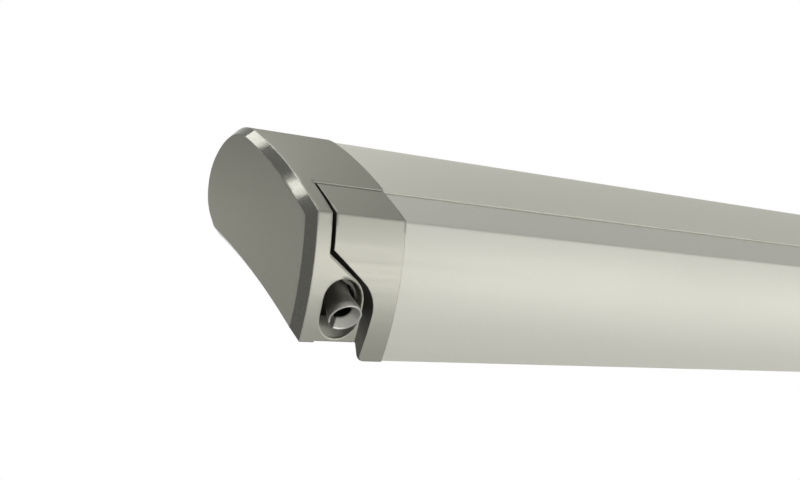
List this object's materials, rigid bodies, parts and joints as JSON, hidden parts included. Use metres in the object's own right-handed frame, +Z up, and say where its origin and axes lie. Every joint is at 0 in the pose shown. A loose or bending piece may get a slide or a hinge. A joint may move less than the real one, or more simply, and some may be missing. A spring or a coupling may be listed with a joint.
{
  "type": "roll out awning",
  "caption": "Cassette awning for a camper roof: crank-driven cloth roller, folding arms, lead rail and telescopic legs that swing out of the rail.",
  "frame": {"origin": "middle of the flat bracket land on the underside of the cassette", "axes": "+X along the length, to the right seen from the front; the front faces -Y; +Z is up"},
  "size_m": [2.6, 0.1506, 0.1454],
  "materials": {
    "shell_light": "satin, pale grey",
    "cap_grey": "satin, metallic grey",
    "rail_cap_grey": "satin, pale grey",
    "dark_plastic": "matt",
    "eyelet_grey": "semi-gloss",
    "cast_grey": "matt casting",
    "steel": "bright",
    "wheel_bronze": "machined",
    "arm_alu": "anodised",
    "cloth": "coated weave",
    "rubber": "matt"
  },
  "bodies": {
    "cassette": {"cassette_profile": "shell_light", "left_end_cap": "cap_grey", "right_end_cap": "cap_grey", "gearbox_housing": "dark_plastic", "idler_bracket": "dark_plastic", "left_shoulder_bracket": "cast_grey", "right_shoulder_bracket": "cast_grey", "left_shoulder_pin": "steel", "right_shoulder_pin": "steel", "left_shoulder_bolts": "steel", "right_shoulder_bolts": "steel"},
    "roller": {"roller_tube": "arm_alu", "drive_plug": "dark_plastic", "idler_plug": "dark_plastic", "worm_wheel": "wheel_bronze", "cloth_roll": "cloth"},
    "crank": {"worm_shaft": "steel", "crank_eyelet": "eyelet_grey"},
    "left_upper_arm": {"left_upper_arm_tube": "arm_alu", "left_shoulder_knuckle": "cast_grey", "left_elbow_fork": "cast_grey", "left_elbow_pin": "steel"},
    "left_forearm": {"left_forearm_tube": "arm_alu", "left_elbow_knuckle": "cast_grey", "left_wrist_knuckle": "cast_grey"},
    "right_upper_arm": {"right_upper_arm_tube": "arm_alu", "right_shoulder_knuckle": "cast_grey", "right_elbow_fork": "cast_grey", "right_elbow_pin": "steel"},
    "right_forearm": {"right_forearm_tube": "arm_alu", "right_elbow_knuckle": "cast_grey", "right_wrist_knuckle": "cast_grey"},
    "lead_rail": {"lead_rail_profile": "shell_light", "left_rail_cap": "rail_cap_grey", "right_rail_cap": "rail_cap_grey", "left_wrist_bracket": "cast_grey", "right_wrist_bracket": "cast_grey", "left_wrist_pin": "steel", "right_wrist_pin": "steel", "left_leg_bracket": "cast_grey", "right_leg_bracket": "cast_grey", "left_leg_pin": "steel", "right_leg_pin": "steel", "hem_rod": "rubber"},
    "cloth_hem": {"cloth_front": "cloth"},
    "left_leg": {"left_leg_head": "dark_plastic", "left_leg_tube": "arm_alu", "left_clamp_block": "dark_plastic"},
    "left_leg_inner": {"left_leg_inner": "arm_alu"},
    "left_lever": {"left_clamp_lever": "dark_plastic"},
    "left_foot": {"left_foot": "rubber"},
    "right_leg": {"right_leg_head": "dark_plastic", "right_leg_tube": "arm_alu", "right_clamp_block": "dark_plastic"},
    "right_leg_inner": {"right_leg_inner": "arm_alu"},
    "right_lever": {"right_clamp_lever": "dark_plastic"},
    "right_foot": {"right_foot": "rubber"}
  },
  "joints": [
    {"name": "left_shoulder", "type": "hinge", "parent": "cassette", "child": "left_upper_arm", "pos_m": [-1.18, -0.01672, 0.03627], "axis": [0, 0.1045, -0.9945], "range_deg": [0, 78]},
    {"name": "left_elbow", "type": "hinge", "parent": "left_upper_arm", "child": "left_forearm", "pos_m": [-0.15, -0.02716, 0.03517], "axis": [0, -0.1045, 0.9945], "range_deg": [0, 156]},
    {"name": "left_wrist", "type": "hinge", "parent": "left_forearm", "child": "lead_rail", "pos_m": [-1.18, -0.0376, 0.03408], "axis": [0, 0.1045, -0.9945], "range_deg": [0, 78]},
    {"name": "right_shoulder", "type": "hinge", "parent": "cassette", "child": "right_upper_arm", "pos_m": [1.18, -0.01672, 0.03627], "axis": [0, -0.1045, 0.9945], "range_deg": [0, 78]},
    {"name": "right_elbow", "type": "hinge", "parent": "right_upper_arm", "child": "right_forearm", "pos_m": [0.15, -0.02716, 0.03517], "axis": [0, 0.1045, -0.9945], "range_deg": [0, 156]},
    {"name": "roller_spin", "type": "hinge", "parent": "cassette", "child": "roller", "pos_m": [0, 0.02962, 0.06279], "axis": [1, 0, 0], "range_deg": [0, 4269.8]},
    {"name": "crank_spin", "type": "hinge", "parent": "cassette", "child": "crank", "pos_m": [-1.273, 0.0111, 0.07726], "axis": [0, 0.6157, 0.788], "range_deg": [0, 46967]},
    {"name": "cloth_draw", "type": "slide", "parent": "cassette", "child": "cloth_hem", "axis": [0, -0.9945, -0.1045], "range_m": [0, 1.99835], "deforming": ["cloth_front"]},
    {"name": "left_leg_swing", "type": "hinge", "parent": "lead_rail", "child": "left_leg", "pos_m": [-1.205, -0.04028, -0.00301], "axis": [0, 1, 0], "range_deg": [0, 90]},
    {"name": "left_leg_slide", "type": "slide", "parent": "left_leg", "child": "left_leg_inner", "axis": [1, 0, 0], "range_m": [0, 1]},
    {"name": "left_lever_open", "type": "hinge", "parent": "left_leg", "child": "left_lever", "pos_m": [-0.124, -0.04028, -0.01106], "axis": [0, 1, 0], "range_deg": [0, 110]},
    {"name": "left_foot_tilt", "type": "hinge", "parent": "left_leg_inner", "child": "left_foot", "pos_m": [-0.072, -0.04028, -0.00301], "axis": [0, 1, 0], "range_deg": [0, 25]},
    {"name": "right_leg_swing", "type": "hinge", "parent": "lead_rail", "child": "right_leg", "pos_m": [1.205, -0.04028, -0.02021], "axis": [0, -1, 0], "range_deg": [0, 90]},
    {"name": "right_leg_slide", "type": "slide", "parent": "right_leg", "child": "right_leg_inner", "axis": [-1, 0, 0], "range_m": [0, 1]},
    {"name": "right_lever_open", "type": "hinge", "parent": "right_leg", "child": "right_lever", "pos_m": [0.124, -0.04028, -0.02826], "axis": [0, -1, 0], "range_deg": [0, 110]},
    {"name": "right_foot_tilt", "type": "hinge", "parent": "right_leg_inner", "child": "right_foot", "pos_m": [0.072, -0.04028, -0.02021], "axis": [0, -1, 0], "range_deg": [0, 25]}
  ],
  "couplings": [
    {"joint": "left_elbow", "follows": "left_shoulder", "ratio": 2},
    {"joint": "left_wrist", "follows": "left_shoulder", "ratio": 1},
    {"joint": "right_shoulder", "follows": "left_shoulder", "ratio": 1},
    {"joint": "right_elbow", "follows": "left_shoulder", "ratio": 2},
    {"joint": "roller_spin", "follows": "left_shoulder", "ratio": 54.729},
    {"joint": "crank_spin", "follows": "left_shoulder", "ratio": 602.01},
    {"joint": "cloth_draw", "follows": "left_shoulder", "m_per_rad": 1.4679}
  ]
}
